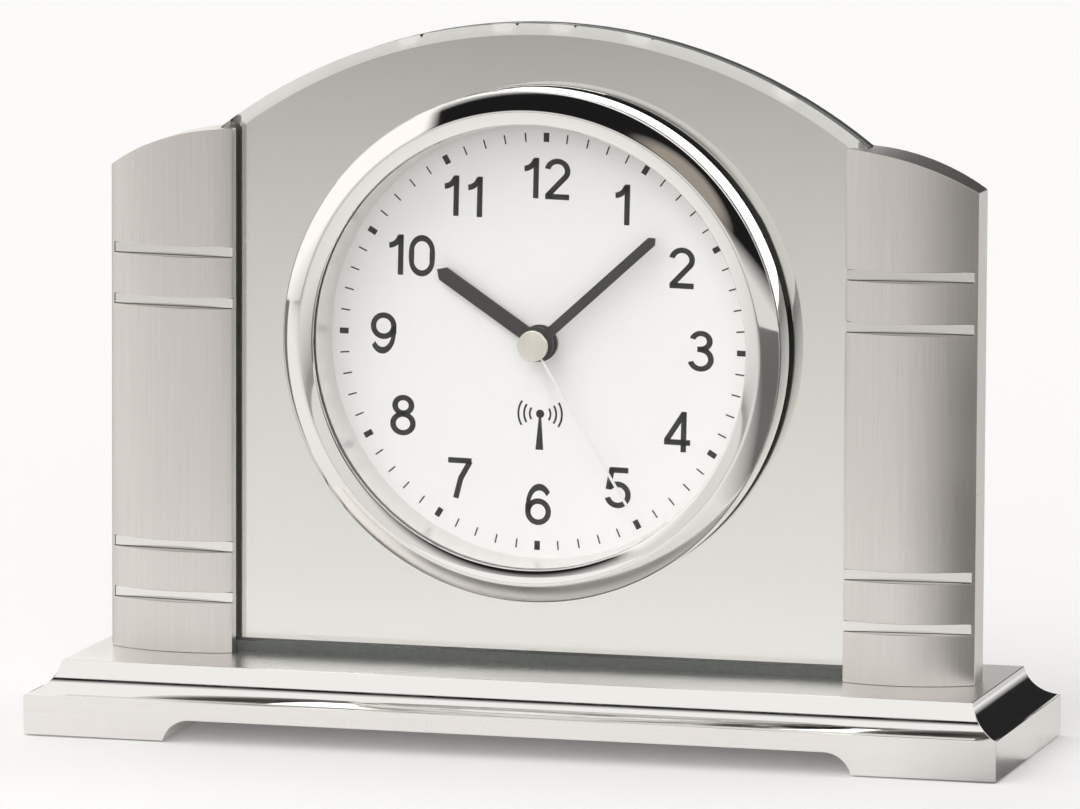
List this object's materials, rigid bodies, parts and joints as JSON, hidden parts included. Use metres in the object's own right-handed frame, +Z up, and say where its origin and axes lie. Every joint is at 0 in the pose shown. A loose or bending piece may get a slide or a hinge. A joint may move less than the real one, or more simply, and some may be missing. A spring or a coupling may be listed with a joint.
{
  "type": "mantel clock",
  "caption": "Mantel clock with a coved aluminium plinth, curved aluminium columns, an arched mirror-glass panel, a chromed bezel and a white analogue dial.",
  "frame": {"origin": "on the table plane under the middle of the plinth", "axes": "+X to the right seen from the front, +Y to the back, +Z up; the dial faces -Y"},
  "size_m": [0.27, 0.081, 0.1944],
  "materials": {
    "brushed_aluminium": "directional brushed satin, clear anodised",
    "polished_chrome": "polished chrome plate",
    "panel_glass": "clear float glass with a polished bevel",
    "mirror_silver": "back-silvered mirror coating",
    "black_board": "matt black backing board",
    "seal_rubber": "black rubber",
    "crystal_glass": "clear mineral glass",
    "satin_silver": "satin silver, turned",
    "dial_white": "fine matt white lacquer, printed",
    "black_plastic": "fine eroded texture",
    "black_enamel": "satin black lacquer",
    "gear_plastic": "natural acetal",
    "screw_steel": "zinc plated",
    "copper_wire": "enamelled copper winding",
    "board_green": "solder resist",
    "ferrite": "sintered ferrite",
    "rotor_magnet": "bonded magnet",
    "cell_jacket": "printed steel can, plain",
    "button_grey": "moulded grey plastic",
    "felt_pad": "soft black pad"
  },
  "bodies": {
    "clock_case": {"plinth": "brushed_aluminium", "foot_pads": "felt_pad", "right_column": "brushed_aluminium", "left_column": "brushed_aluminium", "right_column_bands": "polished_chrome", "left_column_bands": "polished_chrome", "column_screws": "screw_steel", "glass_panel": "panel_glass", "silvering": "mirror_silver", "backing_board": "black_board", "bezel_ring": "polished_chrome", "bezel_gasket": "seal_rubber", "crystal": "crystal_glass", "reflector_ring": "satin_silver", "dial": "dial_white", "rear_housing": "black_plastic", "housing_screws": "screw_steel", "movement_front_case": "black_plastic", "movement_back_case": "black_plastic", "movement_nut": "black_enamel", "movement_washer": "seal_rubber", "gear_bridge": "gear_plastic", "circuit_board": "board_green", "tact_switches": "screw_steel", "antenna_rod": "ferrite", "antenna_coil": "copper_wire", "second_stator": "screw_steel", "second_coil": "copper_wire", "minute_stator": "screw_steel", "minute_coil": "copper_wire", "battery_cell": "cell_jacket", "contact_positive": "screw_steel", "contact_negative": "screw_steel"},
    "second_hand_set": {"second_wheel": "gear_plastic", "second_hand": "satin_silver"},
    "second_idler": {"second_idler": "gear_plastic"},
    "second_rotor": {"second_rotor": "rotor_magnet"},
    "minute_hand_set": {"minute_wheel": "gear_plastic", "minute_hand": "black_enamel"},
    "minute_idler": {"minute_idler": "gear_plastic"},
    "minute_rotor": {"minute_rotor": "rotor_magnet"},
    "minute_work_wheel": {"minute_work_wheel": "gear_plastic"},
    "hour_hand_set": {"hour_wheel": "gear_plastic", "hour_hand": "black_enamel"},
    "battery_cover": {"battery_cover": "black_plastic"},
    "set_button": {"set_button": "button_grey"},
    "signal_button": {"signal_button": "button_grey"},
    "reset_button": {"reset_button": "button_grey"}
  },
  "joints": [
    {"name": "second_hand_turn", "type": "hinge", "parent": "clock_case", "child": "second_hand_set", "pos_m": [0, 0, 0.10805], "axis": [0, 1, 0], "continuous": true},
    {"name": "second_idler_turn", "type": "hinge", "parent": "clock_case", "child": "second_idler", "pos_m": [0.00495, 0, 0.1031], "axis": [0, 1, 0], "continuous": true},
    {"name": "second_rotor_turn", "type": "hinge", "parent": "clock_case", "child": "second_rotor", "pos_m": [0.00975, 0, 0.1031], "axis": [0, 1, 0], "continuous": true},
    {"name": "minute_hand_turn", "type": "hinge", "parent": "clock_case", "child": "minute_hand_set", "pos_m": [0, 0, 0.10805], "axis": [0, 1, 0], "continuous": true},
    {"name": "minute_idler_turn", "type": "hinge", "parent": "clock_case", "child": "minute_idler", "pos_m": [0.00437, 0, 0.11326], "axis": [0, 1, 0], "continuous": true},
    {"name": "minute_rotor_turn", "type": "hinge", "parent": "clock_case", "child": "minute_rotor", "pos_m": [0.01029, 0, 0.11541], "axis": [0, 1, 0], "continuous": true},
    {"name": "minute_work_turn", "type": "hinge", "parent": "clock_case", "child": "minute_work_wheel", "pos_m": [-0.00424, 0, 0.11229], "axis": [0, 1, 0], "continuous": true},
    {"name": "hour_hand_turn", "type": "hinge", "parent": "clock_case", "child": "hour_hand_set", "pos_m": [0, 0, 0.10805], "axis": [0, 1, 0], "continuous": true},
    {"name": "battery_cover_slide", "type": "slide", "parent": "clock_case", "child": "battery_cover", "axis": [0, 0, -1], "range_m": [0, 0.018]},
    {"name": "set_button_press", "type": "slide", "parent": "clock_case", "child": "set_button", "axis": [0, -1, 0], "range_m": [0, 0.0006], "stiffness_N_per_m": 800},
    {"name": "signal_button_press", "type": "slide", "parent": "clock_case", "child": "signal_button", "axis": [0, -1, 0], "range_m": [0, 0.0006], "stiffness_N_per_m": 800},
    {"name": "reset_button_press", "type": "slide", "parent": "clock_case", "child": "reset_button", "axis": [0, -1, 0], "range_m": [0, 0.0006], "stiffness_N_per_m": 800}
  ],
  "couplings": [
    {"joint": "second_idler_turn", "follows": "second_hand_turn", "ratio": -6},
    {"joint": "second_rotor_turn", "follows": "second_hand_turn", "ratio": 30},
    {"joint": "minute_idler_turn", "follows": "minute_hand_turn", "ratio": -7.5},
    {"joint": "minute_rotor_turn", "follows": "minute_hand_turn", "ratio": 60},
    {"joint": "minute_work_turn", "follows": "minute_hand_turn", "ratio": -0.33333},
    {"joint": "hour_hand_turn", "follows": "minute_hand_turn", "ratio": 0.083333}
  ]
}
